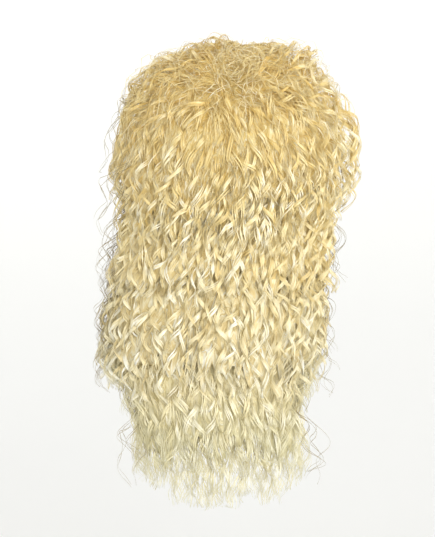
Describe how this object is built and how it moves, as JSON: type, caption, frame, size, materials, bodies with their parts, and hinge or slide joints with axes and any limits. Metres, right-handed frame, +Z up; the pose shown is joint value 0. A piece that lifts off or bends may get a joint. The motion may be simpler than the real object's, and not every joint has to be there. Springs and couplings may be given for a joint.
{
  "type": "cosplay wig",
  "caption": "Curly blond mullet wig: an open net cap with an elastic edge, layered wefts of curled hair, a whorl at the crown and a long tail at the nape.",
  "frame": {"origin": "inside of the cap at the top of the head, where the wig sits on its wearer", "axes": "+Z up, -Y out through the face opening, +X to the wearer's left"},
  "size_m": [0.2543, 0.2642, 0.456],
  "materials": {
    "cap_net": "matt knitted net",
    "edge_elastic": "ribbed elastic",
    "hair_tail": "shiny synthetic fibre, pale ash blond",
    "hair_back": "shiny synthetic fibre, blond",
    "hair_crown": "shiny synthetic fibre, golden blond"
  },
  "bodies": {
    "root": {"cap": "cap_net", "edge_band": "edge_elastic", "nape_weft": "hair_tail", "back_low_weft": "hair_tail", "back_mid_weft": "hair_back", "back_high_weft": "hair_back", "temple_weft_left": "hair_back", "temple_weft_right": "hair_back", "fringe_weft": "hair_crown", "crown_weft": "hair_crown"}
  },
  "joints": []
}
